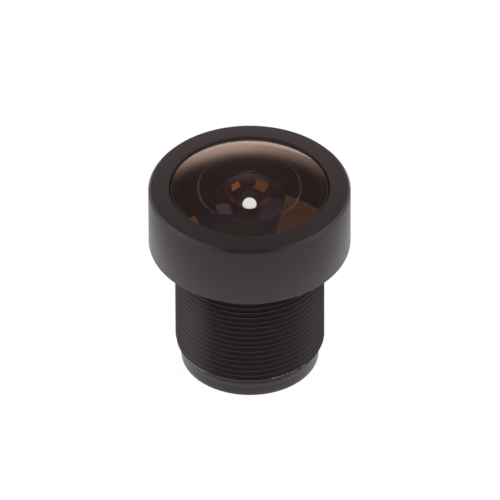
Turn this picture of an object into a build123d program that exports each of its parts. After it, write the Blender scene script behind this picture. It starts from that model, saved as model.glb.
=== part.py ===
# M12 board camera lens: barrel, rings, glass elements, spacers and filter.
# Millimetres, +Z along the optical axis towards the scene, rear end face at z = 0.
from build123d import *
from math import sqrt
import os

# Outside of the barrel
thread_diameter = 12.0
thread_length = 10.0
thread_lead_in = 0.15
thread_lead_height = 0.35
head_height = 5.5
head_wall = 0.9
head_lower_chamfer = 0.1
nose_diameter = 11.1
nose_length = 1.6
nose_chamfer = 0.12
edge_break = 0.06

# Fits
slip_fit = 0.05
screw_fit = 0.03

# Front retaining ring
flange_edge_height = 0.04
flange_chamfer_width = 0.2
flange_chamfer_height = 0.31
mouth_edge_break = 0.04
lip_width = 0.16
skirt_wall = 0.52
skirt_end_gap = 0.13

# Front element and the rubber seal under its rim
dome_radius = 13.0
dome_rim_recess = 0.05
dome_rim_gap = 0.22
front_land_width = 0.18
front_thickness = 0.65
front_edge_thickness = 1.005
front_hollow_radius = 4.16
seal_land = 0.7
seal_section_width = 0.9
seal_section_height = 0.8
seal_edge_chamfer = 0.24
front_seat_width = 0.3

# Second element
second_thickness = 0.52
second_rear_radius = 2.35
second_rear_aperture = 4.1
second_diameter = 9.2

# Third element
gap_after_second = 0.6
third_front_radius = 3.3
third_rear_radius = 6.7
third_front_aperture = 5.2
third_front_rim_width = 0.65
third_rear_rim_width = 0.8
third_edge_thickness = 0.6

# Iris
gap_before_stop = 0.88
stop_thickness = 0.1
stop_hole_diameter = 1.24
stop_cone_diameter = 2.6
stop_cone_land = 0.2
gap_after_stop = 0.25

# Rear group
rear_aperture = 5.2
rear_rim_width = 0.5
fourth_front_radius = 17.5
fourth_rear_radius = 4.16
fourth_edge_thickness = 0.793
gap_after_fourth = 0.2
fifth_front_radius = 16.0
fifth_thickness = 0.6
cement_radius = 6.0
sixth_rear_radius = 4.0
sixth_edge_thickness = 0.648
pair_seat_width = 0.2
cup_wall = 0.55
cup_lip_thickness = 0.5
gap_after_sixth = 0.537
seventh_front_radius = 5.0
seventh_rear_radius = 10.8
seventh_edge_thickness = 0.805
seventh_rim_width = 0.4

# Thin black rings
shield_thickness = 0.06
shield_margin = 0.15
middle_shield_hole = 4.8
middle_shield_rise = 0.43
rear_shield_hole = 5.0

# Filter and rear retaining ring
filter_thickness = 0.3
rear_recess_diameter = 8.6
rear_ring_thickness = 0.9
rear_ring_recess = 0.1
rear_ring_opening = 6.8
spanner_slot_width = 0.8
spanner_slot_depth = 0.4


def sag(radius, distance):
    """Depth of a spherical surface at a distance from the axis."""
    return radius - sqrt(radius**2 - distance**2)


def reach(radius, depth):
    """Distance from the axis at which a spherical surface has a depth."""
    return sqrt(2 * radius * depth - depth**2)


# Radii of the barrel's front end, from the second element outwards
second_r = second_diameter / 2
second_bore_r = second_r + slip_fit
seal_inner_r = second_bore_r + seal_land
seal_outer_r = seal_inner_r + seal_section_width
seal_groove_r = seal_outer_r + slip_fit
front_shield_r = seal_inner_r - shield_margin
front_element_r = seal_groove_r + front_seat_width
mouth_r = front_element_r - lip_width
dome_rim_r = mouth_r - dome_rim_gap
front_land_r = front_element_r - front_land_width
skirt_inner_r = front_element_r + slip_fit
skirt_outer_r = skirt_inner_r + skirt_wall
counterbore_r = skirt_outer_r + screw_fit
head_r = counterbore_r + head_wall

# Radii of the rest
thread_r = thread_diameter / 2
nose_r = nose_diameter / 2
second_rear_r = second_rear_aperture / 2
third_front_r = third_front_aperture / 2
front_stack_r = third_front_r + third_front_rim_width
front_bore_r = front_stack_r + slip_fit
third_rear_r = front_stack_r - third_rear_rim_width
stop_cone_r = stop_cone_diameter / 2
rear_aperture_r = rear_aperture / 2
rear_stack_r = rear_aperture_r + rear_rim_width
rear_bore_r = rear_stack_r + slip_fit
cup_inner_r = rear_stack_r - cup_wall
sixth_r = cup_inner_r - slip_fit
sixth_rear_r = sixth_r - pair_seat_width
seventh_aperture_r = rear_stack_r - seventh_rim_width
rear_recess_r = rear_recess_diameter / 2
filter_r = rear_recess_r - slip_fit
rear_ring_r = rear_recess_r - screw_fit
slot_reach = rear_ring_r + slip_fit

# Heights of the outside, from the rear end face
thread_start_z = nose_length
head_bottom_z = thread_start_z + thread_length
front_face_z = head_bottom_z + head_height
flange_edge_z = front_face_z - flange_chamfer_height
flange_bottom_z = flange_edge_z - flange_edge_height
mouth_break_z = front_face_z - mouth_edge_break

# Front element
dome_rim_z = front_face_z - dome_rim_recess
dome_apex_z = dome_rim_z + sag(dome_radius, dome_rim_r)
front_hollow_z = dome_apex_z - front_thickness
front_seat_z = flange_bottom_z - front_edge_thickness
front_hollow_r = reach(front_hollow_radius, front_hollow_z - front_seat_z)
front_shield_z = front_seat_z - shield_thickness
seal_floor_z = front_seat_z - seal_section_height
skirt_end_z = front_seat_z + skirt_end_gap

# Second element
second_hollow_z = front_shield_z - second_thickness
second_seat_z = second_hollow_z - sag(second_rear_radius, second_rear_r)
mouth_shield_z = second_seat_z - shield_thickness

# Third element
third_apex_z = second_hollow_z - gap_after_second
third_front_rim_z = third_apex_z - sag(third_front_radius, third_front_r)
third_seat_z = third_front_rim_z - third_edge_thickness
third_rear_z = third_seat_z - sag(third_rear_radius, third_rear_r)

# Iris plate and fourth element
stop_top_z = third_rear_z - gap_before_stop
stop_bottom_z = stop_top_z - stop_thickness
fourth_apex_z = stop_bottom_z - gap_after_stop
fourth_front_rim_z = fourth_apex_z - sag(fourth_front_radius, rear_aperture_r)
fourth_rear_rim_z = fourth_front_rim_z - fourth_edge_thickness
fourth_rear_z = fourth_rear_rim_z - sag(fourth_rear_radius, rear_aperture_r)

# Cemented pair
fifth_apex_z = fourth_rear_z - gap_after_fourth
fifth_front_rim_z = fifth_apex_z - sag(fifth_front_radius, rear_aperture_r)
middle_shield_z = fifth_front_rim_z + middle_shield_rise
cement_z = fifth_apex_z - fifth_thickness
cement_rim_z = cement_z - sag(cement_radius, sixth_r)
sixth_rear_rim_z = cement_rim_z - sixth_edge_thickness
sixth_rear_z = sixth_rear_rim_z - sag(sixth_rear_radius, sixth_rear_r)
cup_lip_z = sixth_rear_rim_z - cup_lip_thickness

# Seventh element, filter and rear ring
seventh_apex_z = sixth_rear_z - gap_after_sixth
seventh_front_rim_z = seventh_apex_z - sag(seventh_front_radius, seventh_aperture_r)
seventh_rear_rim_z = seventh_front_rim_z - seventh_edge_thickness
seventh_rear_z = seventh_rear_rim_z - sag(seventh_rear_radius, seventh_aperture_r)
rear_shield_z = sixth_rear_z - 2 * shield_thickness
rear_ring_z = rear_ring_recess
filter_bottom_z = rear_ring_z + rear_ring_thickness
filter_top_z = filter_bottom_z + filter_thickness

os.makedirs("parts", exist_ok=True)

# Barrel: one turned piece with head, threaded body, nose and stepped bore
with BuildPart() as barrel:
    with BuildSketch(Plane.XZ):
        with BuildLine():
            Polyline(
                (rear_recess_r, 0),
                (nose_r - nose_chamfer, 0),
                (nose_r, nose_chamfer),
                (nose_r, thread_start_z),
                (thread_r - thread_lead_in, thread_start_z),
                (thread_r, thread_start_z + thread_lead_height),
                (thread_r, head_bottom_z),
                (head_r - head_lower_chamfer, head_bottom_z),
                (head_r, head_bottom_z + head_lower_chamfer),
                (head_r, flange_bottom_z - edge_break),
                (head_r - edge_break, flange_bottom_z),
                (counterbore_r, flange_bottom_z),
                (counterbore_r, front_seat_z),
                (seal_groove_r, front_seat_z),
                (seal_groove_r, seal_floor_z),
                (seal_inner_r, seal_floor_z),
                (seal_inner_r, front_shield_z),
                (second_bore_r, front_shield_z),
                (second_bore_r, mouth_shield_z),
                (front_bore_r, mouth_shield_z),
                (front_bore_r, third_seat_z),
                (third_rear_r, third_seat_z),
                (stop_cone_r, stop_top_z + stop_cone_land),
                (stop_cone_r, stop_top_z),
                (rear_bore_r, stop_top_z),
                (rear_bore_r, filter_top_z),
                (rear_recess_r, filter_top_z),
                close=True,
            )
        make_face()
    revolve(axis=Axis.Z)
barrel.part.label = "barrel"
export_step(barrel.part, "parts/barrel.step")

# Front retaining ring: flat face, straight mouth and a skirt around the front element
with BuildPart() as front_retaining_ring:
    with BuildSketch(Plane.XZ):
        with BuildLine():
            Polyline(
                (mouth_r, flange_bottom_z),
                (mouth_r, mouth_break_z),
                (mouth_r + mouth_edge_break, front_face_z),
                (head_r - flange_chamfer_width, front_face_z),
                (head_r, flange_edge_z),
                (head_r, flange_bottom_z),
                (skirt_outer_r, flange_bottom_z),
                (skirt_outer_r, skirt_end_z),
                (skirt_inner_r, skirt_end_z),
                (skirt_inner_r, flange_bottom_z),
                close=True,
            )
        make_face()
    revolve(axis=Axis.Z)
front_retaining_ring.part.label = "front_retaining_ring"
export_step(front_retaining_ring.part, "parts/front_retaining_ring.step")

# Front element: domed meniscus, its chamfered rim held under the ring, with a deep hollow behind
with BuildPart() as front_element:
    with BuildSketch(Plane.XZ):
        with BuildLine():
            ThreePointArc(
                (0, dome_apex_z),
                (dome_rim_r / 2, dome_apex_z - sag(dome_radius, dome_rim_r / 2)),
                (dome_rim_r, dome_rim_z),
            )
            Polyline(
                (dome_rim_r, dome_rim_z),
                (front_land_r, flange_bottom_z),
                (front_element_r, flange_bottom_z),
                (front_element_r, front_seat_z),
                (front_hollow_r, front_seat_z),
            )
            ThreePointArc(
                (front_hollow_r, front_seat_z),
                (front_hollow_r / 2, front_hollow_z - sag(front_hollow_radius, front_hollow_r / 2)),
                (0, front_hollow_z),
            )
            Line((0, front_hollow_z), (0, dome_apex_z))
        make_face()
    revolve(axis=Axis.Z)
front_element.part.label = "front_element"
export_step(front_element.part, "parts/front_element.step")

# Rubber seal, squeezed flat between the front element and its groove
with BuildPart() as front_seal:
    with BuildSketch(Plane.XZ) as front_seal_section:
        with Locations((seal_inner_r + seal_section_width / 2, seal_floor_z + seal_section_height / 2)):
            Rectangle(seal_section_width, seal_section_height)
        chamfer(front_seal_section.vertices(), length=seal_edge_chamfer)
    revolve(axis=Axis.Z)
front_seal.part.label = "front_seal"
export_step(front_seal.part, "parts/front_seal.step")

# Thin black ring between the first two elements
with BuildPart() as front_light_shield:
    with BuildSketch(Plane.XY.offset(front_shield_z)):
        Circle(front_shield_r)
        Circle(front_hollow_r, mode=Mode.SUBTRACT)
    extrude(amount=shield_thickness)
front_light_shield.part.label = "front_light_shield"
export_step(front_light_shield.part, "parts/front_light_shield.step")

# Second element: flat in front, deeply hollowed behind
with BuildPart() as second_element:
    with BuildSketch(Plane.XZ):
        with BuildLine():
            Polyline(
                (0, second_hollow_z),
                (0, front_shield_z),
                (second_r, front_shield_z),
                (second_r, second_seat_z),
                (second_rear_r, second_seat_z),
            )
            ThreePointArc(
                (second_rear_r, second_seat_z),
                (second_rear_r / 2, second_hollow_z - sag(second_rear_radius, second_rear_r / 2)),
                (0, second_hollow_z),
            )
        make_face()
    revolve(axis=Axis.Z)
second_element.part.label = "second_element"
export_step(second_element.part, "parts/second_element.step")

# Thin black ring at the mouth of the inner tube
with BuildPart() as tube_light_shield:
    with BuildSketch(Plane.XY.offset(mouth_shield_z)):
        Circle(second_r)
        Circle(second_rear_r, mode=Mode.SUBTRACT)
    extrude(amount=shield_thickness)
tube_light_shield.part.label = "tube_light_shield"
export_step(tube_light_shield.part, "parts/tube_light_shield.step")

# Spacer between the second and third elements
with BuildPart() as front_spacer:
    with BuildSketch(Plane.XY.offset(third_front_rim_z)):
        Circle(front_stack_r)
        Circle(third_front_r, mode=Mode.SUBTRACT)
    extrude(amount=mouth_shield_z - third_front_rim_z)
front_spacer.part.label = "front_spacer"
export_step(front_spacer.part, "parts/front_spacer.step")

# Third element: thick, domed on both sides
with BuildPart() as third_element:
    with BuildSketch(Plane.XZ):
        with BuildLine():
            ThreePointArc(
                (0, third_apex_z),
                (third_front_r / 2, third_apex_z - sag(third_front_radius, third_front_r / 2)),
                (third_front_r, third_front_rim_z),
            )
            Polyline(
                (third_front_r, third_front_rim_z),
                (front_stack_r, third_front_rim_z),
                (front_stack_r, third_seat_z),
                (third_rear_r, third_seat_z),
            )
            ThreePointArc(
                (third_rear_r, third_seat_z),
                (third_rear_r / 2, third_rear_z + sag(third_rear_radius, third_rear_r / 2)),
                (0, third_rear_z),
            )
            Line((0, third_rear_z), (0, third_apex_z))
        make_face()
    revolve(axis=Axis.Z)
third_element.part.label = "third_element"
export_step(third_element.part, "parts/third_element.step")

# Iris plate with the fixed hole
with BuildPart() as aperture_stop:
    with BuildSketch(Plane.XY.offset(stop_bottom_z)):
        Circle(rear_stack_r)
        Circle(stop_hole_diameter / 2, mode=Mode.SUBTRACT)
    extrude(amount=stop_thickness)
aperture_stop.part.label = "aperture_stop"
export_step(aperture_stop.part, "parts/aperture_stop.step")

# Spacer between the iris plate and the fourth element
with BuildPart() as stop_spacer:
    with BuildSketch(Plane.XY.offset(fourth_front_rim_z)):
        Circle(rear_stack_r)
        Circle(rear_aperture_r, mode=Mode.SUBTRACT)
    extrude(amount=stop_bottom_z - fourth_front_rim_z)
stop_spacer.part.label = "stop_spacer"
export_step(stop_spacer.part, "parts/stop_spacer.step")

# Fourth element
with BuildPart() as fourth_element:
    with BuildSketch(Plane.XZ):
        with BuildLine():
            ThreePointArc(
                (0, fourth_apex_z),
                (rear_aperture_r / 2, fourth_apex_z - sag(fourth_front_radius, rear_aperture_r / 2)),
                (rear_aperture_r, fourth_front_rim_z),
            )
            Polyline(
                (rear_aperture_r, fourth_front_rim_z),
                (rear_stack_r, fourth_front_rim_z),
                (rear_stack_r, fourth_rear_rim_z),
                (rear_aperture_r, fourth_rear_rim_z),
            )
            ThreePointArc(
                (rear_aperture_r, fourth_rear_rim_z),
                (rear_aperture_r / 2, fourth_rear_z + sag(fourth_rear_radius, rear_aperture_r / 2)),
                (0, fourth_rear_z),
            )
            Line((0, fourth_rear_z), (0, fourth_apex_z))
        make_face()
    revolve(axis=Axis.Z)
fourth_element.part.label = "fourth_element"
export_step(fourth_element.part, "parts/fourth_element.step")

# Two spacers with a thin black ring between them
with BuildPart() as upper_spacer:
    with BuildSketch(Plane.XY.offset(middle_shield_z + shield_thickness)):
        Circle(rear_stack_r)
        Circle(rear_aperture_r, mode=Mode.SUBTRACT)
    extrude(amount=fourth_rear_rim_z - middle_shield_z - shield_thickness)
upper_spacer.part.label = "upper_spacer"
export_step(upper_spacer.part, "parts/upper_spacer.step")

with BuildPart() as middle_light_shield:
    with BuildSketch(Plane.XY.offset(middle_shield_z)):
        Circle(rear_stack_r)
        Circle(middle_shield_hole / 2, mode=Mode.SUBTRACT)
    extrude(amount=shield_thickness)
middle_light_shield.part.label = "middle_light_shield"
export_step(middle_light_shield.part, "parts/middle_light_shield.step")

with BuildPart() as middle_spacer:
    with BuildSketch(Plane.XY.offset(fifth_front_rim_z)):
        Circle(rear_stack_r)
        Circle(rear_aperture_r, mode=Mode.SUBTRACT)
    extrude(amount=middle_shield_z - fifth_front_rim_z)
middle_spacer.part.label = "middle_spacer"
export_step(middle_spacer.part, "parts/middle_spacer.step")

# Fifth element: front half of the cemented pair
with BuildPart() as fifth_element:
    with BuildSketch(Plane.XZ):
        with BuildLine():
            ThreePointArc(
                (0, fifth_apex_z),
                (rear_aperture_r / 2, fifth_apex_z - sag(fifth_front_radius, rear_aperture_r / 2)),
                (rear_aperture_r, fifth_front_rim_z),
            )
            Polyline(
                (rear_aperture_r, fifth_front_rim_z),
                (rear_stack_r, fifth_front_rim_z),
                (rear_stack_r, cement_rim_z),
                (sixth_r, cement_rim_z),
            )
            ThreePointArc(
                (sixth_r, cement_rim_z),
                (sixth_r / 2, cement_z - sag(cement_radius, sixth_r / 2)),
                (0, cement_z),
            )
            Line((0, cement_z), (0, fifth_apex_z))
        make_face()
    revolve(axis=Axis.Z)
fifth_element.part.label = "fifth_element"
export_step(fifth_element.part, "parts/fifth_element.step")

# Sixth element: rear half of the cemented pair
with BuildPart() as sixth_element:
    with BuildSketch(Plane.XZ):
        with BuildLine():
            ThreePointArc(
                (0, cement_z),
                (sixth_r / 2, cement_z - sag(cement_radius, sixth_r / 2)),
                (sixth_r, cement_rim_z),
            )
            Polyline(
                (sixth_r, cement_rim_z),
                (sixth_r, sixth_rear_rim_z),
                (sixth_rear_r, sixth_rear_rim_z),
            )
            ThreePointArc(
                (sixth_rear_r, sixth_rear_rim_z),
                (sixth_rear_r / 2, sixth_rear_z + sag(sixth_rear_radius, sixth_rear_r / 2)),
                (0, sixth_rear_z),
            )
            Line((0, sixth_rear_z), (0, cement_z))
        make_face()
    revolve(axis=Axis.Z)
sixth_element.part.label = "sixth_element"
export_step(sixth_element.part, "parts/sixth_element.step")

# Cup that holds the smaller half of the cemented pair
with BuildPart() as pair_cup:
    with BuildSketch(Plane.XZ):
        with BuildLine():
            Polyline(
                (cup_inner_r, cement_rim_z),
                (rear_stack_r, cement_rim_z),
                (rear_stack_r, rear_shield_z + shield_thickness),
                (seventh_aperture_r, rear_shield_z + shield_thickness),
                (seventh_aperture_r, cup_lip_z),
                (sixth_rear_r, cup_lip_z),
                (sixth_rear_r, sixth_rear_rim_z),
                (cup_inner_r, sixth_rear_rim_z),
                close=True,
            )
        make_face()
    revolve(axis=Axis.Z)
pair_cup.part.label = "pair_cup"
export_step(pair_cup.part, "parts/pair_cup.step")

# Thin black ring and spacer in front of the seventh element
with BuildPart() as rear_light_shield:
    with BuildSketch(Plane.XY.offset(rear_shield_z)):
        Circle(rear_stack_r)
        Circle(rear_shield_hole / 2, mode=Mode.SUBTRACT)
    extrude(amount=shield_thickness)
rear_light_shield.part.label = "rear_light_shield"
export_step(rear_light_shield.part, "parts/rear_light_shield.step")

with BuildPart() as rear_spacer:
    with BuildSketch(Plane.XY.offset(seventh_front_rim_z)):
        Circle(rear_stack_r)
        Circle(seventh_aperture_r, mode=Mode.SUBTRACT)
    extrude(amount=rear_shield_z - seventh_front_rim_z)
rear_spacer.part.label = "rear_spacer"
export_step(rear_spacer.part, "parts/rear_spacer.step")

# Seventh element, the last one
with BuildPart() as seventh_element:
    with BuildSketch(Plane.XZ):
        with BuildLine():
            ThreePointArc(
                (0, seventh_apex_z),
                (seventh_aperture_r / 2, seventh_apex_z - sag(seventh_front_radius, seventh_aperture_r / 2)),
                (seventh_aperture_r, seventh_front_rim_z),
            )
            Polyline(
                (seventh_aperture_r, seventh_front_rim_z),
                (rear_stack_r, seventh_front_rim_z),
                (rear_stack_r, seventh_rear_rim_z),
                (seventh_aperture_r, seventh_rear_rim_z),
            )
            ThreePointArc(
                (seventh_aperture_r, seventh_rear_rim_z),
                (seventh_aperture_r / 2, seventh_rear_z + sag(seventh_rear_radius, seventh_aperture_r / 2)),
                (0, seventh_rear_z),
            )
            Line((0, seventh_rear_z), (0, seventh_apex_z))
        make_face()
    revolve(axis=Axis.Z)
seventh_element.part.label = "seventh_element"
export_step(seventh_element.part, "parts/seventh_element.step")

# Spacer between the seventh element and the filter
with BuildPart() as filter_spacer:
    with BuildSketch(Plane.XY.offset(filter_top_z)):
        Circle(rear_stack_r)
        Circle(seventh_aperture_r, mode=Mode.SUBTRACT)
    extrude(amount=seventh_rear_rim_z - filter_top_z)
filter_spacer.part.label = "filter_spacer"
export_step(filter_spacer.part, "parts/filter_spacer.step")

# Infrared filter plate
with BuildPart() as ir_cut_filter:
    with BuildSketch(Plane.XY.offset(filter_bottom_z)):
        Circle(filter_r)
    extrude(amount=filter_thickness)
ir_cut_filter.part.label = "ir_cut_filter"
export_step(ir_cut_filter.part, "parts/ir_cut_filter.step")

# Rear retaining ring with two spanner slots
with BuildPart() as rear_retaining_ring:
    with BuildSketch(Plane.XY.offset(rear_ring_z)):
        Circle(rear_ring_r)
        Circle(rear_ring_opening / 2, mode=Mode.SUBTRACT)
    extrude(amount=rear_ring_thickness)
    with BuildSketch(Plane.XY.offset(rear_ring_z)):
        Rectangle(2 * slot_reach, spanner_slot_width)
    extrude(amount=spanner_slot_depth, mode=Mode.SUBTRACT)
rear_retaining_ring.part.label = "rear_retaining_ring"
export_step(rear_retaining_ring.part, "parts/rear_retaining_ring.step")
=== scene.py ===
import math

import bmesh
import bpy
from mathutils import Matrix, Vector


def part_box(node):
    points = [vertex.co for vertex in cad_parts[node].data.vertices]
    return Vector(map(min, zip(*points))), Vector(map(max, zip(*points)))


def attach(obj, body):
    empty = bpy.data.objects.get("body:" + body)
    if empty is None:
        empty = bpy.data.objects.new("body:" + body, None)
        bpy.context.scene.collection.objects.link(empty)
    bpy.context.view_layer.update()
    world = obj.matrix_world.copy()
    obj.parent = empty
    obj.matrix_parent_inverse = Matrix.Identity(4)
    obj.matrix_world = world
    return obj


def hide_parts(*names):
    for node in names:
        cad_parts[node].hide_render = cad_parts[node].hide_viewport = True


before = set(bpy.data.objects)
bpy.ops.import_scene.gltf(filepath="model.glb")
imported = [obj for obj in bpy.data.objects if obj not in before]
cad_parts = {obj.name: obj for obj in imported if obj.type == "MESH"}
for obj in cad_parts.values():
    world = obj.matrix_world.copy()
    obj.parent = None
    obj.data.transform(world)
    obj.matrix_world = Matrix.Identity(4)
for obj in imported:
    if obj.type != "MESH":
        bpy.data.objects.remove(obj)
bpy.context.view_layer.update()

# Sizes are in millimetres where nothing else is said
MM = 0.001

# Meshes; crease angle in degrees, weld and sliver distances in metres
CREASE_ANGLE = 24
RING_SEGMENTS = 128
ELEMENT_SEGMENTS = 192
BARREL_SEGMENTS = 240
FACE_RING_SEGMENTS = 256
AXIS_R = 1e-6
WELD_DISTANCE = 1e-8
SLIVER_DISTANCE = 1e-9
DOME_STEPS = 72
HOLLOW_STEPS = 40
CURVE_STEPS = 30
FLAT_CURVE_STEPS = 24
CROWN_STEPS = 8

# Camera, measured from the photograph
CAMERA_DISTANCE = 1200.0
CAMERA_ELEVATION = 39.047
CAMERA_ROLL = -0.171
PIXELS_PER_MM = 12.504
IMAGE_SIZE = 500
FACE_CENTRE_PX = (249.642, 186.78)
SENSOR = 36.0

# Outside of the barrel, in millimetres from the rear end face
FACE_Z = 17.1
HEAD_R = 8.1
HEAD_BOTTOM_Z = 11.6
HEAD_EDGE = 0.08
THREAD_R = 6.0
THREAD_DEPTH = 0.3
THREAD_PITCH = 0.5
THREAD_START_Z = 1.6
LEAD_IN = 0.15
LEAD_HEIGHT = 0.35
NOSE_R = 5.55
ROOT_MARGIN = 0.1

# Share of a turn at which the thread starts, turns wound past its ends,
# and shares of the pitch that are crest and groove
THREAD_TURN = 0.2
SPARE_TURNS = 3
CREST_SHARE = 0.12
GROOVE_SHARE = 0.3

# Crest at 0 and root at a half: share of the pitch, share of the depth
THREAD_PROFILE = ((0.0, 0.0), (0.06, 0.03), (0.25, 0.5), (0.43, 0.96),
                  (0.5, 1.0), (0.57, 0.96), (0.75, 0.5), (0.94, 0.03))

# Bores
RECESS_R = 4.3
FILTER_TOP_Z = 1.3
REAR_BORE_R = 3.15
STOP_TOP_Z = 11.353
STOP_CONE_R = 1.3
STOP_CONE_LAND = 0.2
THIRD_SEAT_R = 2.45
FRONT_BORE_R = 3.3
SECOND_BORE_R = 4.65
SEAL_INNER_R = 5.35
SEAL_GROOVE_R = 6.3
SEAL_DEPTH = 0.8
SEAL_ROUNDING = 0.2
COUNTERBORE_R = 7.2

# Front ring
MOUTH_R = 6.44
MOUTH_EDGE = 0.04
MOUTH_MARGIN = 0.005
FLANGE_FLAT_R = 7.9
FLANGE_CROWN = 0.07
FLANGE_EDGE_Z = 16.79
FLANGE_BOTTOM_Z = 16.75
SKIRT_OUTER_R = 7.17
SKIRT_INNER_R = 6.65
SKIRT_END_Z = 15.875

# Inner rings
RING_EDGE = 0.03
SHIELD_THICKNESS = 0.06
STOP_HOLE_R = 0.62
SPACER_HOLE_R = 2.6
MIDDLE_SHIELD_HOLE_R = 2.4
REAR_SHIELD_HOLE_R = 2.5
REAR_SPACER_HOLE_R = 2.7
CUP_INNER_R = 2.55
CUP_OUTER_R = 3.1
CUP_LIP_HEIGHT = 0.5

# Front element (DOME_R and HOLLOW_R are radii of curvature)
DOME_R = 13.0
DOME_RIM_R = 6.22
DOME_RIM_Z = 17.05
FRONT_LAND_R = 6.42
FRONT_ELEMENT_R = 6.6
FRONT_THICKNESS = 0.65
FRONT_SEAT_Z = 15.745
HOLLOW_R = 4.16
GROUND_BEVEL = 0.12

# Elements between the front one and the stop (FRONT_R, REAR_R and HOLLOW_R likewise)
SECOND_ELEMENT_R = 4.6
SECOND_THICKNESS = 0.52
SECOND_HOLLOW_R = 2.35
SECOND_HOLLOW_EDGE_R = 2.05
SECOND_GROUND_R = 2.0
THIRD_ELEMENT_R = 3.25
THIRD_GAP = 0.6
THIRD_FRONT_R = 3.3
THIRD_FRONT_APERTURE_R = 2.6
THIRD_EDGE = 0.6
THIRD_REAR_R = 6.7

# Elements behind the stop (FRONT_R, REAR_R and CEMENT_R likewise)
REAR_ELEMENT_R = 3.1
REAR_APERTURE_R = 2.6
FOURTH_GAP = 0.35
FOURTH_FRONT_R = 17.5
FOURTH_EDGE = 0.793
FOURTH_REAR_R = 4.16
FIFTH_GAP = 0.2
FIFTH_FRONT_R = 16.0
FIFTH_THICKNESS = 0.6
CEMENT_R = 6.0
CEMENT_GAP = 0.004
SIXTH_ELEMENT_R = 2.5
SIXTH_EDGE = 0.648
SIXTH_REAR_R = 4.0
SIXTH_REAR_APERTURE_R = 2.3
SEVENTH_GAP = 0.537
SEVENTH_FRONT_R = 5.0
SEVENTH_APERTURE_R = 2.7
SEVENTH_EDGE = 0.805
SEVENTH_REAR_R = 10.8
FILTER_R = 4.25
FILTER_IOR = 1.52

# Noises: features per millimetre, detail, roughness
METAL_GRAIN = (22, 6, 0.7)
SPECKS = (6, 2, 0.5)
GLOSS = (9, 5, 0.6)
RELIEF = (30, 3, 0.6)
DUST_AND_VEIL_CLOUD = (0.9, 8, 0.7)
MATT_GRAIN = (14, 6, 0.7)
FILM_GRAIN = (20, 6, 0.7)
CHIPS = (14, 3, 0.6)
CHIP_RUNS = (0.8, 2, 0.5)
GROUND_GRAIN = (6, 4, 0.6)

# Noise levels between which a finish goes from its first tone to its second
GRAIN_STOPS = (0.3, 0.7)
GLOSS_STOPS = (0.25, 0.75)
FILM_STOPS = (0.45, 0.75)
CHIP_STOPS = (0.205, 0.25)
SPECK_EDGE = 0.012

# Factors by which a noise makes a tone darker and lighter
METAL_SPREAD = (0.8, 1.2)
DUST_AND_VEIL_SPREAD = (0.85, 1.15)
GROUND_SPREAD = (0.6, 1.0)

# Tones and surfaces; relief height in metres
BLACK = (0, 0, 0)
WHITE = (1, 1, 1)
SPECK_COLOUR = (0.16, 0.15, 0.145)
SPECULAR_TINT = (1.0, 0.83, 0.87, 1)
METAL_IOR = 1.45
GLOSS_SPREAD = (-0.05, 0.06)
RELIEF_HEIGHT = 0.00001
CHIPPED_ROUGHNESS = 0.45
GROUND_ROUGHNESS = 0.5

# Levels at places along an axis, in millimetres: painted light and shade, and the last crest's
# chips
# Painted highlights at the chamfer's left and right
SIDE_PAINTED_LIGHT = ((-8.1, 1), (-5.5, 1), (-3.0, 0.45), (-1.5, 0),
               (1.5, 0), (3.0, 0.45), (5.5, 1), (8.1, 1))
# Painted reflections on the nose and a painted shadow just under the thread
NOSE_PAINTED_LIGHT_AND_SHADE = ((0.0, 1), (0.15, 1), (0.3, 0.6), (0.4, 0.36), (0.75, 0.36),
               (0.88, 1), (1.1, 1), (1.2, 0), (1.6, 0))
# Painted light on the thread's left, and a little on its right
THREAD_PAINTED_LIGHT = ((-6.0, 1), (-4.8, 0.8), (-3.0, 0), (3.5, 0), (5.0, 0.3), (6.0, 0.5))
CHIPPED_PLACES = ((-6.0, 0.4), (-5.2, 1), (-3.7, 1), (-3.3, 0.55),
                  (1.2, 0.55), (1.7, 1), (4.4, 1), (5.0, 0.4))

# Where the ground edge has painted highlights, at its left and right, in shares of the hollow's
# edge
GROUND_PAINTED_LIGHT = ((-1, 1), (-0.93, 1), (-0.6, 0), (0.6, 0), (0.93, 1), (1, 1))

# Coatings: colour head on, and (Fresnel level, colour) pairs when slanting
AMBER = ((0.030, 0.0105, 0.0026),
         [(0.125, (0.055, 0.035, 0.024)), (0.18, (0.29, 0.19, 0.145)), (0.28, (0.44, 0.345, 0.30))])
ORANGE = ((0.073, 0.022, 0.003), [(0.2, (0.09, 0.04, 0.02)), (0.5, (0.75, 0.65, 0.58))])
PURPLE = ((0.0165, 0.0075, 0.0145), [(0.32, (0.30, 0.24, 0.26))])
VIOLET = ((0.0050, 0.0023, 0.0048), [(0.32, (0.30, 0.24, 0.26))])
CEMENTED = ((0.0008, 0.0008, 0.0008), [(0.32, (0.01, 0.01, 0.01))])
PLAIN_FILTER = ((0.067, 0.125, 0.127), [(0.32, (0.25, 0.25, 0.28))])
HEAD_ON_MARGIN = 1.02

# Dust and a painted veil of glare on the front glass: its tones, and where the second one takes
# over
DUST_AND_GLARE_VEIL = ((0.0193, 0.0123, 0.0119), (0.0258, 0.0193, 0.0193))
DUST_AND_VEIL_START_Y = -3.9
DUST_AND_VEIL_END_Y = -5.2

# Surroundings, in metres
FLOOR_SIZE = 3
FLOOR_COLOUR = (0.92, 0.92, 0.92, 1)
FLOOR_ROUGHNESS = 0.9
FLOOR_WHITE_SHARE = 0.985
STUDIO_LEVEL = 0.8
SOFTBOX_DISTANCE = 0.7

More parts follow.
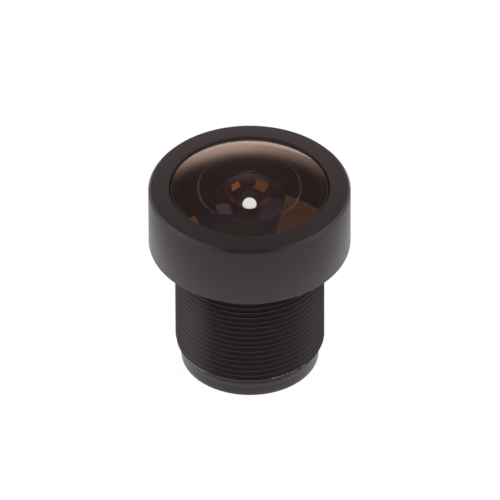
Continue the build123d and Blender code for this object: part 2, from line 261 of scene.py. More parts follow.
# Backdrop that glass and gloss mirror: by height (0 straight down, 1 straight up)
# and by side (0 left, 1 right)
BACKDROP_BY_HEIGHT = ((0.0, 1.0), (0.57, 1.0), (0.61, 0.90), (0.64, 0.62),
                      (0.68, 0.30), (0.74, 0.10), (1.0, 0.05))
BACKDROP_BY_SIDE = ((0.20, 0.2), (0.29, 0.40), (0.34, 0.65), (0.38, 0.95), (0.48, 1.0),
                    (0.55, 0.70), (0.64, 0.42), (0.70, 0.28), (0.85, 0.2))


# Outlines and meshes
def sag(radius, distance):
    """Depth of a spherical surface at a distance from the axis."""
    return radius - math.sqrt(radius**2 - distance**2)


def reach(radius, depth):
    """Distance from the axis at which a spherical surface has a depth."""
    return math.sqrt(2 * radius * depth - depth**2)


def dome(apex_z, radius, edge_r, facing, steps):
    """Outline points of a spherical surface, bulging up (1) or down (-1), from the axis out."""
    return [
        (edge_r * i / steps, apex_z - facing * sag(radius, edge_r * i / steps))
        for i in range(steps + 1)
    ]


def softened(points, size, closed=True):
    """Outline with each corner cut back a little, so that its edge catches light."""
    out = []
    count = len(points)
    for i, (r, z) in enumerate(points):
        if not closed and i in (0, count - 1):
            out.append((r, z))
            continue
        here = Vector((r, z))
        before = Vector(points[i - 1]) - here
        after = Vector(points[(i + 1) % count]) - here
        cut = min(size, before.length / 3, after.length / 3)
        start = here + before.normalized() * cut
        end = here + after.normalized() * cut
        middle = (start + end) / 4 + here / 2
        out += [tuple(start), tuple(middle), tuple(end)]
    return out


def circle(body, r, z, segments):
    """Ring of vertices around the axis."""
    turns = [2 * math.pi * k / segments for k in range(segments)]
    return [body.verts.new((r * MM * math.cos(a), r * MM * math.sin(a), z * MM)) for a in turns]


def skin(body, low, high, slot=0):
    """Faces between two rings of vertices; a ring of one vertex closes them on the axis."""
    segments = max(len(low), len(high))
    for k in range(segments):
        n = (k + 1) % segments
        if len(low) == 1:
            face = body.faces.new((low[0], high[n], high[k]))
        elif len(high) == 1:
            face = body.faces.new((low[k], low[n], high[0]))
        else:
            face = body.faces.new((low[k], low[n], high[n], high[k]))
        face.material_index = slot


def placed(name, body):
    """Object made of a finished bmesh, smooth but for its edges."""
    bmesh.ops.recalc_face_normals(body, faces=body.faces)
    for face in body.faces:
        face.smooth = True
    mesh = bpy.data.meshes.new(name)
    body.to_mesh(mesh)
    body.free()
    mesh.set_sharp_from_angle(angle=math.radians(CREASE_ANGLE))
    piece = bpy.data.objects.new(name, mesh)
    bpy.context.collection.objects.link(piece)
    return piece


def turned(name, outline, slots=None, closed=True, segments=RING_SEGMENTS):
    """Mesh of an outline of (radius, height) points turned about the optical axis."""
    body = bmesh.new()
    rings = []
    for r, z in outline:
        if r < AXIS_R:
            rings.append([body.verts.new((0, 0, z * MM))])
        else:
            rings.append(circle(body, r, z, segments))
    spans = len(outline) if closed else len(outline) - 1
    for i in range(spans):
        skin(body, rings[i], rings[(i + 1) % len(rings)], slots[i] if slots else 0)
    return placed(name, body)


def dress(piece, *finishes):
    """Gives a piece its finishes, in the order of its slots."""
    for finish in finishes:
        piece.data.materials.append(finish)


def stand_for(piece, node):
    """Shows a piece in place of a node of the frame."""
    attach(piece, "root")
    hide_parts(node)


# Shader nodes
def material(name):
    """New material with its nodes, its links and its shader."""
    made = bpy.data.materials.new(name)
    made.use_nodes = True
    nodes = made.node_tree.nodes
    return made, nodes, made.node_tree.links, nodes["Principled BSDF"]


def feed(links, source, socket):
    """Gives a socket a colour, a number or what another node puts out."""
    if isinstance(source, tuple):
        socket.default_value = (*source, 1)
    elif isinstance(source, (int, float)):
        socket.default_value = source
    else:
        links.new(source, socket)


def combined(nodes, links, operation, first, second):
    """One value made of two by an operation."""
    made = nodes.new("ShaderNodeMath")
    made.operation = operation
    feed(links, first, made.inputs[0])
    feed(links, second, made.inputs[1])
    return made.outputs[0]


def mixed(nodes, links, share, first, second, blend="MIX"):
    """Colour made of two others, by a share of the second."""
    made = nodes.new("ShaderNodeMix")
    made.data_type = "RGBA"
    made.blend_type = blend
    feed(links, share, made.inputs["Factor"])
    feed(links, first, made.inputs["A"])
    feed(links, second, made.inputs["B"])
    return made.outputs["Result"]


def added(nodes, links, first, second):
    """Shader that adds two others."""
    made = nodes.new("ShaderNodeAddShader")
    links.new(first.outputs[0], made.inputs[0])
    links.new(second.outputs[0], made.inputs[1])
    return made


def noise(nodes, links, scale, detail, roughness):
    """Noise in object space, with its scale in features per millimetre."""
    place = nodes.new("ShaderNodeTexCoord")
    texture = nodes.new("ShaderNodeTexNoise")
    texture.inputs["Scale"].default_value = scale / MM
    texture.inputs["Detail"].default_value = detail
    texture.inputs["Roughness"].default_value = roughness
    links.new(place.outputs["Object"], texture.inputs["Vector"])
    return texture.outputs["Fac"]


def ramp(nodes, links, source, stops):
    """Colour that follows a value, from (place, colour) pairs."""
    made = nodes.new("ShaderNodeValToRGB")
    elements = made.color_ramp.elements
    while len(elements) < len(stops):
        elements.new(0.5)
    for element, (place, colour) in zip(elements, stops):
        element.position = place
        element.color = (*colour, 1)
    links.new(source, made.inputs["Fac"])
    return made.outputs["Color"]


def two_tone(nodes, links, source, first, second, stops=GRAIN_STOPS):
    """Colour that goes from one tone to another between two levels of a value."""
    return ramp(nodes, links, source, [(stops[0], first), (stops[1], second)])


def grained(nodes, links, source, tone, spread):
    """Tone that a noise makes darker and lighter, between two factors."""
    darker, lighter = (tuple(factor * c for c in tone) for factor in spread)
    return two_tone(nodes, links, source, darker, lighter)


def greys(levels):
    """Stops of a ramp from (place, level) pairs."""
    return [(place, (level,) * 3) for place, level in levels]


def progress(nodes, links, space, axis, start, end):
    """Share of the way from one coordinate on an axis to another."""
    place = nodes.new("ShaderNodeTexCoord")
    split = nodes.new("ShaderNodeSeparateXYZ")
    links.new(place.outputs[space], split.inputs[0])
    share = nodes.new("ShaderNodeMapRange")
    share.inputs["From Min"].default_value = start
    share.inputs["From Max"].default_value = end
    links.new(split.outputs[axis], share.inputs["Value"])
    return share.outputs["Result"]


def graded(nodes, links, axis, levels):
    """Level from 0 to 1 that follows an axis, from (place in millimetres, level) pairs."""
    start, end = levels[0][0], levels[-1][0]
    share = progress(nodes, links, "Object", axis, start * MM, end * MM)
    stops = [((place - start) / (end - start), level) for place, level in levels]
    return ramp(nodes, links, share, greys(stops))


# Finishes
def anodised(name, dark, light, roughness, specks, bump=0.25, painted_light_tone=None):
    """Black anodised metal: fine grain, uneven gloss, a few pale specks above a noise level.

    The last argument gives a second tone that paints light and shade along an axis: the tone, the
    axis that it follows and its levels at places in millimetres.
    """
    made, nodes, links, shader = material(name)
    grain = noise(nodes, links, *METAL_GRAIN)
    colour = two_tone(nodes, links, grain, dark, light)
    if painted_light_tone:
        tone, axis, levels = painted_light_tone
        pale = grained(nodes, links, grain, tone, METAL_SPREAD)
        colour = mixed(nodes, links, graded(nodes, links, axis, levels), colour, pale)
    dust = noise(nodes, links, *SPECKS)
    share = two_tone(nodes, links, dust, BLACK, WHITE, (specks, specks + SPECK_EDGE))
    links.new(mixed(nodes, links, share, colour, SPECK_COLOUR), shader.inputs["Base Color"])
    glossy, dull = ((roughness + offset,) * 3 for offset in GLOSS_SPREAD)
    gloss = two_tone(nodes, links, noise(nodes, links, *GLOSS), glossy, dull, GLOSS_STOPS)
    links.new(gloss, shader.inputs["Roughness"])
    shader.inputs["IOR"].default_value = METAL_IOR
    shader.inputs["Specular Tint"].default_value = SPECULAR_TINT
    relief = nodes.new("ShaderNodeBump")
    relief.inputs["Strength"].default_value = bump
    relief.inputs["Distance"].default_value = RELIEF_HEIGHT
    links.new(noise(nodes, links, *RELIEF), relief.inputs["Height"])
    links.new(relief.outputs["Normal"], shader.inputs["Normal"])
    return made


def matt(name, dark, light, roughness, grain=MATT_GRAIN, stops=GRAIN_STOPS):
    """Dull surface with a fine grain."""
    made, nodes, links, shader = material(name)
    colour = two_tone(nodes, links, noise(nodes, links, *grain), dark, light, stops)
    links.new(colour, shader.inputs["Base Color"])
    shader.inputs["Roughness"].default_value = roughness
    return made


def chipped(name, dark, bare):
    """Black crest with short runs of bare metal, most of them towards the left and the right."""
    made, nodes, links, shader = material(name)
    fine = noise(nodes, links, *CHIPS)
    runs = noise(nodes, links, *CHIP_RUNS)
    wear = combined(nodes, links, "MULTIPLY", fine, runs)
    wear = combined(nodes, links, "MULTIPLY", wear, graded(nodes, links, "X", CHIPPED_PLACES))
    share = two_tone(nodes, links, wear, BLACK, WHITE, CHIP_STOPS)
    links.new(mixed(nodes, links, share, dark, bare), shader.inputs["Base Color"])
    shader.inputs["Roughness"].default_value = CHIPPED_ROUGHNESS
    return made


def ground(name, dark, pale, edge_r):
    """Ground edge of a hollow with painted highlights: pale at its left and right, and dark
    elsewhere.
    """
    made, nodes, links, shader = material(name)
    share = graded(nodes, links, "X", [(place * edge_r, level) for place, level in GROUND_PAINTED_LIGHT])
    lit_sides = grained(nodes, links, noise(nodes, links, *GROUND_GRAIN), pale, GROUND_SPREAD)
    links.new(mixed(nodes, links, share, dark, lit_sides), shader.inputs["Base Color"])
    shader.inputs["Roughness"].default_value = GROUND_ROUGHNESS
    return made


def coated_glass(name, ior, head_on, slanting, dust=None):
    """Clear glass whose coating colours its reflections; the colour fades out when grazing."""
    made, nodes, links, shader = material(name)
    nodes.remove(shader)
    fresnel = nodes.new("ShaderNodeFresnel")
    fresnel.inputs["IOR"].default_value = ior
    plain = ((ior - 1) / (ior + 1)) ** 2
    stops = [(plain * HEAD_ON_MARGIN, head_on), *slanting, (1.0, WHITE)]
    film = ramp(nodes, links, fresnel.outputs["Fac"], stops)
    rest = mixed(nodes, links, 1, WHITE, film, blend="SUBTRACT")
    mirror = nodes.new("ShaderNodeBsdfGlossy")
    mirror.inputs["Roughness"].default_value = 0
    links.new(film, mirror.inputs["Color"])
    through = nodes.new("ShaderNodeBsdfRefraction")
    through.inputs["IOR"].default_value = ior
    through.inputs["Roughness"].default_value = 0
    links.new(rest, through.inputs["Color"])
    surface = added(nodes, links, mirror, through)
    # Partly dust, partly a painted veil of light for glare; thicker towards the near side
    if dust:
        haze = nodes.new("ShaderNodeBsdfDiffuse")
        cloud = noise(nodes, links, *DUST_AND_VEIL_CLOUD)
        thin, thick = (grained(nodes, links, cloud, tone, DUST_AND_VEIL_SPREAD) for tone in dust)
        nearer = progress(nodes, links, "Object", "Y", DUST_AND_VEIL_START_Y * MM, DUST_AND_VEIL_END_Y * MM)
        links.new(mixed(nodes, links, nearer, thin, thick), haze.inputs["Color"])
        surface = added(nodes, links, surface, haze)
    links.new(surface.outputs[0], nodes["Material Output"].inputs["Surface"])
    return made


dome_apex_z = DOME_RIM_Z + sag(DOME_R, DOME_RIM_R)
front_hollow_z = dome_apex_z - FRONT_THICKNESS
hollow_edge_r = reach(HOLLOW_R, front_hollow_z - FRONT_SEAT_Z)
bevelled_r = reach(HOLLOW_R, front_hollow_z - FRONT_SEAT_Z - GROUND_BEVEL)

head_finish = anodised("black_anodised", (0.0144, 0.0104, 0.0112), (0.0224, 0.0170, 0.0182),
                       roughness=0.36, specks=0.758)
# Painted light: the ring's face grows paler towards the far side, for reflected backdrop and glare
ring_with_painted_light = anodised("ring_anodised", (0.0216, 0.0154, 0.0158), (0.0315, 0.0232, 0.0237),
                       roughness=0.44, specks=0.77,
                       painted_light_tone=((0.0515, 0.0369, 0.0386), "Y", ((-HEAD_R, 0), (HEAD_R, 1))))
# Painted light: the chamfer grows paler towards its left and right sides
chamfer_with_painted_light = anodised("chamfer_anodised", (0.0156, 0.0103, 0.0111), (0.0246, 0.0172, 0.0184),
                          roughness=0.44, specks=0.77,
                          painted_light_tone=((0.060, 0.052, 0.053), "X", SIDE_PAINTED_LIGHT))
# Painted light: the mouth is painted far paler than the ring, to lift its wall out of its shade
mouth_painted_pale = anodised("mouth_anodised", (0.0738, 0.0558, 0.0541), (0.1066, 0.0820, 0.0804),
                        roughness=0.5, specks=0.9)
inner_finish = anodised("inner_black", (0.008, 0.007, 0.007), (0.014, 0.012, 0.012),
                        roughness=0.6, specks=0.9, bump=0.3)
# Painted light: the glass rims are painted brown-grey, not black, to lift them out of the mouth's
# shade
rim_painted_light = matt("rim_painted_light", (0.0530, 0.0330, 0.0315), (0.0650, 0.0410, 0.0395), 0.6)
edge_black = matt("edge_black", (0.0162, 0.0153, 0.0162), (0.0234, 0.0225, 0.0234), 0.7)
ground_edge = ground("ground_edge", (0.012, 0.012, 0.013), (0.34, 0.36, 0.37), hollow_edge_r)
film_black = matt("film_black", (0.010, 0.008, 0.008), (0.035, 0.028, 0.027), 0.6,
                  FILM_GRAIN, FILM_STOPS)
rubber_black = matt("rubber_black", (0.008, 0.008, 0.008), (0.016, 0.016, 0.016), 0.7)
# Painted reflections at the bottom edge and in a band below the thread; a painted shadow just under
# it
nose_with_painted_light_and_shade = anodised("nose_anodised", (0.0032, 0.0020, 0.0022), (0.0048, 0.0030, 0.0033),
                       roughness=0.36, specks=0.77,
                       painted_light_tone=((0.0385, 0.0310, 0.0325), "Z", NOSE_PAINTED_LIGHT_AND_SHADE))
# Painted light: the thread grows paler towards the left, and a little towards the right
thread_with_painted_light = anodised("thread_black", (0.0160, 0.0115, 0.0125), (0.0220, 0.0160, 0.0172),
                         roughness=0.46, specks=0.755,
                         painted_light_tone=((0.060, 0.052, 0.054), "X", THREAD_PAINTED_LIGHT))
# Painted light: the grooves are painted paler than the flanks, to lift the shade under each turn
groove_with_painted_light = anodised("groove_painted_light", (0.0320, 0.0237, 0.0255), (0.0410, 0.0310, 0.0330),
                         roughness=0.5, specks=0.755,
                         painted_light_tone=((0.075, 0.065, 0.067), "X", THREAD_PAINTED_LIGHT))
# Painted shade: the crests are painted darker than the flanks, to damp their highlights
crest_with_painted_shade = anodised("crest_painted_shade", (0.0090, 0.0065, 0.0071), (0.0130, 0.0096, 0.0103),
                        roughness=0.42, specks=0.755,
                        painted_light_tone=((0.045, 0.039, 0.040), "X", THREAD_PAINTED_LIGHT))
worn_edge = chipped("worn_edge", (0.0238, 0.0176, 0.0193), (0.60, 0.57, 0.55))


# Glass elements
FRONT_FILM, REAR_FILM, EDGE, GROUND, RIM = range(5)


def element(name, node, ior, front, rear, rims, films, bevel=False, dust=None):
    """Front and rear outlines run from the axis outwards; rims joins their edges."""
    edges = [RIM] + [EDGE] * len(rims)
    if bevel:
        edges[-1] = GROUND
    slots = [FRONT_FILM] * (len(front) - 1) + edges + [REAR_FILM] * (len(rear) - 1)
    piece = turned(name, front + rims + rear[::-1], slots, closed=False,
                   segments=ELEMENT_SEGMENTS)
    front_glass = coated_glass(name + "_front", ior, *films[0], dust)
    rear_glass = coated_glass(name + "_rear", ior, *films[1])
    dress(piece, front_glass, rear_glass, edge_black, ground_edge, rim_painted_light)
    stand_for(piece, node)


element("front_dome", "front_element", 1.80,
        dome(dome_apex_z, DOME_R, DOME_RIM_R, 1, DOME_STEPS),
        dome(front_hollow_z, HOLLOW_R, bevelled_r, 1, HOLLOW_STEPS),
        [(FRONT_LAND_R, FLANGE_BOTTOM_Z), (FRONT_ELEMENT_R, FLANGE_BOTTOM_Z),
         (FRONT_ELEMENT_R, FRONT_SEAT_Z), (hollow_edge_r + GROUND_BEVEL / 2, FRONT_SEAT_Z)],
        (AMBER, ORANGE), bevel=True, dust=DUST_AND_GLARE_VEIL)

second_front_z = FRONT_SEAT_Z - SHIELD_THICKNESS
second_hollow_z = second_front_z - SECOND_THICKNESS
second_seat_z = second_hollow_z - sag(SECOND_HOLLOW_R, SECOND_HOLLOW_EDGE_R)
tube_shield_z = second_seat_z - SHIELD_THICKNESS
element("second_hollowed", "second_element", 1.50,
        [(0, second_front_z), (hollow_edge_r, second_front_z)],
        dome(second_hollow_z, SECOND_HOLLOW_R, SECOND_GROUND_R, 1, HOLLOW_STEPS),
        [(SECOND_ELEMENT_R, second_front_z), (SECOND_ELEMENT_R, second_seat_z),
         (SECOND_HOLLOW_EDGE_R, second_seat_z)],
        (PURPLE, VIOLET), bevel=True)

third_apex_z = second_hollow_z - THIRD_GAP
third_rim_z = third_apex_z - sag(THIRD_FRONT_R, THIRD_FRONT_APERTURE_R)
third_seat_z = third_rim_z - THIRD_EDGE
third_rear_z = third_seat_z - sag(THIRD_REAR_R, THIRD_SEAT_R)
element("third_biconvex", "third_element", 1.90,
        dome(third_apex_z, THIRD_FRONT_R, THIRD_FRONT_APERTURE_R, 1, CURVE_STEPS),
        dome(third_rear_z, THIRD_REAR_R, THIRD_SEAT_R, -1, CURVE_STEPS),
        [(THIRD_ELEMENT_R, third_rim_z), (THIRD_ELEMENT_R, third_seat_z)],
        (VIOLET, VIOLET))

fourth_apex_z = STOP_TOP_Z - FOURTH_GAP
fourth_rim_z = fourth_apex_z - sag(FOURTH_FRONT_R, REAR_APERTURE_R)
fourth_rear_rim_z = fourth_rim_z - FOURTH_EDGE
fourth_rear_z = fourth_rear_rim_z - sag(FOURTH_REAR_R, REAR_APERTURE_R)
element("fourth_convex", "fourth_element", 1.85,
        dome(fourth_apex_z, FOURTH_FRONT_R, REAR_APERTURE_R, 1, FLAT_CURVE_STEPS),
        dome(fourth_rear_z, FOURTH_REAR_R, REAR_APERTURE_R, -1, CURVE_STEPS),
        [(REAR_ELEMENT_R, fourth_rim_z), (REAR_ELEMENT_R, fourth_rear_rim_z)],
        (VIOLET, VIOLET))

fifth_apex_z = fourth_rear_z - FIFTH_GAP
fifth_rim_z = fifth_apex_z - sag(FIFTH_FRONT_R, REAR_APERTURE_R)
cement_z = fifth_apex_z - FIFTH_THICKNESS
cement_rim_z = cement_z - sag(CEMENT_R, SIXTH_ELEMENT_R)
sixth_rear_rim_z = cement_rim_z - SIXTH_EDGE
sixth_rear_z = sixth_rear_rim_z - sag(SIXTH_REAR_R, SIXTH_REAR_APERTURE_R)
element("fifth_meniscus", "fifth_element", 1.85,
        dome(fifth_apex_z, FIFTH_FRONT_R, REAR_APERTURE_R, 1, FLAT_CURVE_STEPS),
        dome(cement_z, CEMENT_R, SIXTH_ELEMENT_R, 1, CURVE_STEPS),
        [(REAR_ELEMENT_R, fifth_rim_z), (REAR_ELEMENT_R, cement_rim_z)],
        (VIOLET, CEMENTED))
element("sixth_convex", "sixth_element", 1.62,
        dome(cement_z - CEMENT_GAP, CEMENT_R, SIXTH_ELEMENT_R, 1, CURVE_STEPS),
        dome(sixth_rear_z, SIXTH_REAR_R, SIXTH_REAR_APERTURE_R, -1, CURVE_STEPS),
        [(SIXTH_ELEMENT_R, sixth_rear_rim_z)],
        (CEMENTED, VIOLET))

seventh_apex_z = sixth_rear_z - SEVENTH_GAP
seventh_rim_z = seventh_apex_z - sag(SEVENTH_FRONT_R, SEVENTH_APERTURE_R)
seventh_rear_rim_z = seventh_rim_z - SEVENTH_EDGE
seventh_rear_z = seventh_rear_rim_z - sag(SEVENTH_REAR_R, SEVENTH_APERTURE_R)
element("seventh_convex", "seventh_element", 1.80,
        dome(seventh_apex_z, SEVENTH_FRONT_R, SEVENTH_APERTURE_R, 1, CURVE_STEPS),
        dome(seventh_rear_z, SEVENTH_REAR_R, SEVENTH_APERTURE_R, -1, FLAT_CURVE_STEPS),
        [(REAR_ELEMENT_R, seventh_rim_z), (REAR_ELEMENT_R, seventh_rear_rim_z)],
        (VIOLET, VIOLET))


# Barrel, with its real thread
HEAD, WORN, FLANK, NOSE, GROOVE, CREST = range(6)


def thread_phase(z, turn):
    """Share of the pitch above the nearest crest below, at a height and a share of a turn."""
    return ((z - THREAD_START_Z) / THREAD_PITCH + THREAD_TURN - turn) % 1.0


def thread_point(z, turn):
    """Radius and height of a thread point, held inside the threaded length."""
    held = min(max(z, THREAD_START_Z), HEAD_BOTTOM_Z)
    phase = thread_phase(held, turn)
    stops = THREAD_PROFILE + ((1.0, 0.0),)
    depth = next(da + (db - da) * (phase - a) / (b - a)
                 for (a, da), (b, db) in zip(stops, stops[1:]) if phase <= b)
    lead = THREAD_R - LEAD_IN + LEAD_IN * (held - THREAD_START_Z) / LEAD_HEIGHT
    return min(THREAD_R - THREAD_DEPTH * depth, lead), held


def thread_column(body, turn, turns):
    """Vertices of the thread from below its start to above its end, at a share of a turn."""
    angle = 2 * math.pi * turn
    column = []
    for t in range(turns):
        for phase, _ in THREAD_PROFILE:
            height = THREAD_PITCH * (t - 1 + phase + turn - THREAD_TURN)
            r, z = thread_point(THREAD_START_Z + height, turn)
            place = (r * MM * math.cos(angle), r * MM * math.sin(angle), z * MM)
            column.append(body.verts.new(place))
    return column


def wind_thread(body, segments):
    """Helical thread surface; gives back its lowest and highest rings of vertices."""
    turns = int((HEAD_BOTTOM_Z - THREAD_START_Z) / THREAD_PITCH) + SPARE_TURNS
    columns = [thread_column(body, k / segments, turns) for k in range(segments)]
    for k, here in enumerate(columns):
        wraps = k == segments - 1
        there = columns[0][len(THREAD_PROFILE):] if wraps else columns[k + 1]
        for j in range(min(len(here), len(there)) - 1):
            body.faces.new((here[j], there[j], there[j + 1], here[j + 1]))
    bmesh.ops.remove_doubles(body, verts=body.verts, dist=WELD_DISTANCE)
    bmesh.ops.dissolve_degenerate(body, edges=body.edges, dist=SLIVER_DISTANCE)
    open_ends = sorted((v for v in body.verts if v.is_boundary),
                       key=lambda v: math.atan2(v.co.y, v.co.x) % (2 * math.pi))
    middle = (THREAD_START_Z + HEAD_BOTTOM_Z) / 2 * MM
    return [v for v in open_ends if v.co.z < middle], [v for v in open_ends if v.co.z > middle]


def barrel_slot(centre):
    """Finish of a barrel face, by its centre."""
    on_thread = (NOSE_R + ROOT_MARGIN) * MM < centre.xy.length < THREAD_R * MM
    if on_thread and centre.z < HEAD_BOTTOM_Z * MM:
        turn = math.atan2(centre.y, centre.x) / (2 * math.pi)
        phase = thread_phase(centre.z / MM, turn)
        if min(phase, 1 - phase) < CREST_SHARE:
            return WORN if centre.z < (THREAD_START_Z + THREAD_PITCH) * MM else CREST
        return FLANK if phase < GROOVE_SHARE else GROOVE
    if centre.xy.length > (NOSE_R - HEAD_EDGE) * MM and centre.z < THREAD_START_Z * MM:
        return NOSE
    return HEAD


def make_barrel():
    """Head, bores and nose joined to the thread in one closed surface."""
    body = bmesh.new()
    lower, upper = wind_thread(body, BARREL_SEGMENTS)
    seal_floor_z = FRONT_SEAT_Z - SEAL_DEPTH
    corners = [
        (THREAD_R - THREAD_DEPTH, HEAD_BOTTOM_Z), (HEAD_R, HEAD_BOTTOM_Z),
        (HEAD_R, FLANGE_BOTTOM_Z), (COUNTERBORE_R, FLANGE_BOTTOM_Z),
        (COUNTERBORE_R, FRONT_SEAT_Z), (SEAL_GROOVE_R, FRONT_SEAT_Z),
        (SEAL_GROOVE_R, seal_floor_z), (SEAL_INNER_R, seal_floor_z),
        (SEAL_INNER_R, second_front_z), (SECOND_BORE_R, second_front_z),
        (SECOND_BORE_R, tube_shield_z), (FRONT_BORE_R, tube_shield_z),
        (FRONT_BORE_R, third_seat_z), (THIRD_SEAT_R, third_seat_z),
        (STOP_CONE_R, STOP_TOP_Z + STOP_CONE_LAND), (STOP_CONE_R, STOP_TOP_Z),
        (REAR_BORE_R, STOP_TOP_Z), (REAR_BORE_R, FILTER_TOP_Z),
        (RECESS_R, FILTER_TOP_Z), (RECESS_R, 0),
        (NOSE_R, 0), (NOSE_R, THREAD_START_Z)]
    outline = softened(corners, HEAD_EDGE, closed=False)[1:]
    rings = [circle(body, r, z, BARREL_SEGMENTS) for r, z in outline]
    chain = [upper] + rings + [lower]
    for low, high in zip(chain, chain[1:]):
        skin(body, low, high)
    for face in body.faces:
        face.material_index = barrel_slot(face.calc_center_median())
    piece = placed("barrel_turned", body)
    dress(piece, head_finish, worn_edge, thread_with_painted_light, nose_with_painted_light_and_shade, groove_with_painted_light, crest_with_painted_shade)
    stand_for(piece, "barrel")


make_barrel()


# Front ring
FACE, MOUTH, CHAMFER = range(3)


def front_ring_slot(centre):
    """Finish of a face of the front ring, by its centre."""
    if centre.xy.length < (MOUTH_R + MOUTH_MARGIN) * MM:
        return MOUTH
    return CHAMFER if centre.xy.length > FLANGE_FLAT_R * MM else FACE


def make_front_ring():
    """Screwed ring with a slightly crowned face, a mouth painted pale against its shade, and
    painted light on the face and bevel.
    """
    start_r = MOUTH_R + MOUTH_EDGE
    steps = [t / CROWN_STEPS for t in range(CROWN_STEPS + 1)]
    crown = [(start_r + (FLANGE_FLAT_R - start_r) * t, FACE_Z - FLANGE_CROWN * t**2) for t in steps]
    outline = softened([
        (MOUTH_R, FLANGE_BOTTOM_Z), (MOUTH_R, FACE_Z - MOUTH_EDGE), *crown,
        (HEAD_R, FLANGE_EDGE_Z), (HEAD_R, FLANGE_BOTTOM_Z),
        (SKIRT_OUTER_R, FLANGE_BOTTOM_Z), (SKIRT_OUTER_R, SKIRT_END_Z),
        (SKIRT_INNER_R, SKIRT_END_Z), (SKIRT_INNER_R, FLANGE_BOTTOM_Z)], RING_EDGE)
    piece = turned("front_ring_turned", outline, segments=FACE_RING_SEGMENTS)
    for face in piece.data.polygons:
        face.material_index = front_ring_slot(face.center)
    dress(piece, ring_with_painted_light, mouth_painted_pale, chamfer_with_painted_light)
    stand_for(piece, "front_retaining_ring")


make_front_ring()


# Rings, spacers and shields
def ring(name, node, hole_r, finish, slot, edge=RING_EDGE):
    """Plain turned ring in the place of a node, with its own hole."""
    low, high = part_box(node)
    outer_r = high[0] / MM
    bottom, top = low[2] / MM, high[2] / MM
    corners = [(hole_r, bottom), (hole_r, top), (outer_r, top), (outer_r, bottom)]
    piece = turned(name, softened(corners, min(edge, (top - bottom) / 4)))
    dress(piece, finish)
    stand_for(piece, node)


SHIELD = (film_black, "black_film")
SPACER = (inner_finish, "inner_black_aluminium")

for name, node, hole_r, kind in (
        ("front_shield_cut", "front_light_shield", hollow_edge_r, SHIELD),
        ("tube_shield_cut", "tube_light_shield", SECOND_HOLLOW_EDGE_R, SHIELD),
        ("front_spacer_turned", "front_spacer", SPACER_HOLE_R, SPACER),
        ("stop_plate", "aperture_stop", STOP_HOLE_R, SHIELD),
        ("stop_spacer_turned", "stop_spacer", SPACER_HOLE_R, SPACER),
        ("upper_spacer_turned", "upper_spacer", SPACER_HOLE_R, SPACER),
        ("middle_shield_cut", "middle_light_shield", MIDDLE_SHIELD_HOLE_R, SHIELD),
        ("middle_spacer_turned", "middle_spacer", SPACER_HOLE_R, SPACER),
        ("rear_shield_cut", "rear_light_shield", REAR_SHIELD_HOLE_R, SHIELD),
        ("rear_spacer_turned", "rear_spacer", REAR_SPACER_HOLE_R, SPACER),
        ("filter_spacer_turned", "filter_spacer", REAR_SPACER_HOLE_R, SPACER)):
    ring(name, node, hole_r, *kind)
ring("rubber_seal", "front_seal", SEAL_INNER_R, rubber_black, "black_rubber", SEAL_ROUNDING)


def make_cup():
    """Cup with a lip that holds the cemented pair."""
    bottom_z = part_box("pair_cup")[0][2] / MM
    lip_z = sixth_rear_rim_z - CUP_LIP_HEIGHT
    outline = softened([
        (CUP_INNER_R, cement_rim_z), (CUP_OUTER_R, cement_rim_z), (CUP_OUTER_R, bottom_z),
        (REAR_SPACER_HOLE_R, bottom_z), (REAR_SPACER_HOLE_R, lip_z),
        (SIXTH_REAR_APERTURE_R, lip_z), (SIXTH_REAR_APERTURE_R, sixth_rear_rim_z),
        (CUP_INNER_R, sixth_rear_rim_z)], RING_EDGE)
    piece = turned("pair_cup_turned", outline)
    dress(piece, inner_finish)
    stand_for(piece, "pair_cup")


def make_filter():
    """Coated plate with black edges."""
    low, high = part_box("ir_cut_filter")
    bottom, top = low[2] / MM, high[2] / MM
    outline = [(0, top), (FILTER_R, top), (FILTER_R, bottom), (0, bottom)]
    plate = turned("filter_plate", outline, [0, 1, 0], closed=False)
    dress(plate, coated_glass("filter_glass", FILTER_IOR, *PLAIN_FILTER), edge_black)
    stand_for(plate, "ir_cut_filter")


make_cup()
make_filter()

rear_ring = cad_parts["rear_retaining_ring"]
rear_ring.data.materials.clear()
dress(rear_ring, head_finish)


# Floor, world and lights
def seen_white(nodes, links, shader, white_share):
    """Shows white to the camera, and in gloss and glass, over the lit surface."""
    path = nodes.new("ShaderNodeLightPath")
    glow = nodes.new("ShaderNodeEmission")
    glow.inputs["Strength"].default_value = 1
    direct = combined(nodes, links, "MAXIMUM",
                      path.outputs["Is Camera Ray"], path.outputs["Is Glossy Ray"])
    part = combined(nodes, links, "MULTIPLY", direct, white_share)
    whole = combined(nodes, links, "MAXIMUM", part, path.outputs["Is Transmission Ray"])
    made = nodes.new("ShaderNodeMixShader")
    links.new(whole, made.inputs["Fac"])
    links.new(shader.outputs[0], made.inputs[1])
    links.new(glow.outputs[0], made.inputs[2])
    return made


floor_finish, floor_nodes, floor_links, floor_shader = material("pale_floor")
floor_shader.inputs["Base Color"].default_value = FLOOR_COLOUR
floor_shader.inputs["Roughness"].default_value = FLOOR_ROUGHNESS
floor_shader.inputs["Specular IOR Level"].default_value = 0
floor_mix = seen_white(floor_nodes, floor_links, floor_shader, FLOOR_WHITE_SHARE)
floor_links.new(floor_mix.outputs[0], floor_nodes["Material Output"].inputs["Surface"])
bpy.ops.mesh.primitive_plane_add(size=FLOOR_SIZE)
floor = bpy.context.object
floor.name = "floor"
dress(floor, floor_finish)


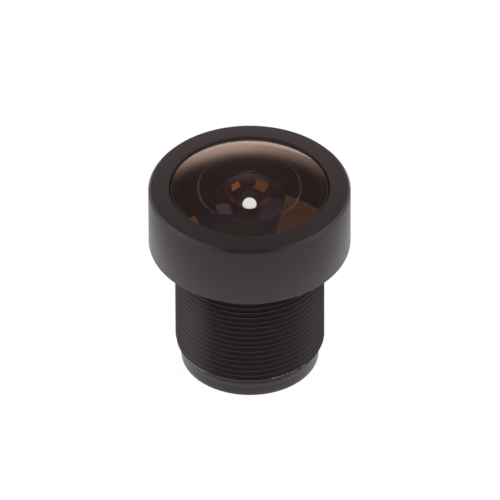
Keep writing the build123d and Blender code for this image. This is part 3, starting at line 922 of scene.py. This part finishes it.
def light_world():
    """Even studio light; gloss and glass show the backdrop instead, and the camera sees white."""
    world = bpy.data.worlds.new("studio")
    bpy.context.scene.world = world
    world.use_nodes = True
    nodes, links = world.node_tree.nodes, world.node_tree.links
    by_height, by_side = (
        ramp(nodes, links, progress(nodes, links, "Generated", axis, -1, 1), greys(levels))
        for axis, levels in (("Z", BACKDROP_BY_HEIGHT), ("X", BACKDROP_BY_SIDE)))
    backdrop = mixed(nodes, links, 1, by_height, by_side, blend="MULTIPLY")
    path = nodes.new("ShaderNodeLightPath")
    mirrored = combined(nodes, links, "MAXIMUM",
                        path.outputs["Is Glossy Ray"], path.outputs["Is Transmission Ray"])
    around = mixed(nodes, links, mirrored, (STUDIO_LEVEL,) * 3, backdrop)
    seen = mixed(nodes, links, path.outputs["Is Camera Ray"], around, WHITE)
    links.new(seen, nodes["Background"].inputs["Color"])


light_world()


def softbox(name, corner, side, down, width, height, radiance):
    """Rectangular studio light that faces the lens.

    corner is the direction of one corner, side and down are those of the edges that start
    there; width and height are shares of the distance.
    """
    data = bpy.data.lights.new(name, "AREA")
    data.shape = "RECTANGLE"
    data.size = width * SOFTBOX_DISTANCE
    data.size_y = height * SOFTBOX_DISTANCE
    data.energy = radiance * data.size * data.size_y * math.pi
    lamp = bpy.data.objects.new(name, data)
    across = Vector(side).normalized()
    fall = (Vector(down) - across * across.dot(Vector(down))).normalized()
    outward = across.cross(fall)
    if outward.dot(Vector(corner)) < 0:
        outward.negate()
    start = Vector(corner) * SOFTBOX_DISTANCE / Vector(corner).dot(outward)
    centre = start + across * data.size / 2 + fall * data.size_y / 2
    turn = Matrix((outward.cross(fall), -fall, outward)).transposed().to_4x4()
    lamp.matrix_world = Matrix.Translation(centre + Vector((0, 0, FACE_Z * MM))) @ turn
    bpy.context.collection.objects.link(lamp)


softbox("softbox_right", corner=(0.335, 0.515, 0.789), side=(0.875, -0.201, -0.441),
        down=(-0.17, -0.93, 0.32), width=0.80, height=0.90, radiance=1.0)
softbox("softbox_left", corner=(-0.535, 0.310, 0.786), side=(-0.819, -0.273, -0.506),
        down=(0.30, -0.90, 0.30), width=0.60, height=0.44, radiance=2.1)

# Camera
elevation = math.radians(CAMERA_ELEVATION)
toward_camera = Vector((0, -math.cos(elevation), math.sin(elevation)))
position = Vector((0, 0, FACE_Z * MM)) + toward_camera * CAMERA_DISTANCE * MM
turn, tilt = (math.atan((IMAGE_SIZE / 2 - place) / (PIXELS_PER_MM * CAMERA_DISTANCE))
              for place in FACE_CENTRE_PX)
camera_data = bpy.data.cameras.new("camera")
camera_data.sensor_width = SENSOR
camera_data.lens = SENSOR * CAMERA_DISTANCE * PIXELS_PER_MM / IMAGE_SIZE
camera = bpy.data.objects.new("camera", camera_data)
aim = Matrix.Rotation(math.pi / 2 - elevation - tilt, 4, "X") @ Matrix.Rotation(-turn, 4, "Y")
roll = Matrix.Rotation(math.radians(CAMERA_ROLL), 4, "Z")
camera.matrix_world = Matrix.Translation(position) @ aim @ roll
bpy.context.collection.objects.link(camera)
bpy.context.scene.camera = camera
bpy.context.scene.view_settings.view_transform = "Standard"
bpy.context.scene.cycles.max_bounces = 32
bpy.context.scene.cycles.transmission_bounces = 32
bpy.context.scene.cycles.glossy_bounces = 8
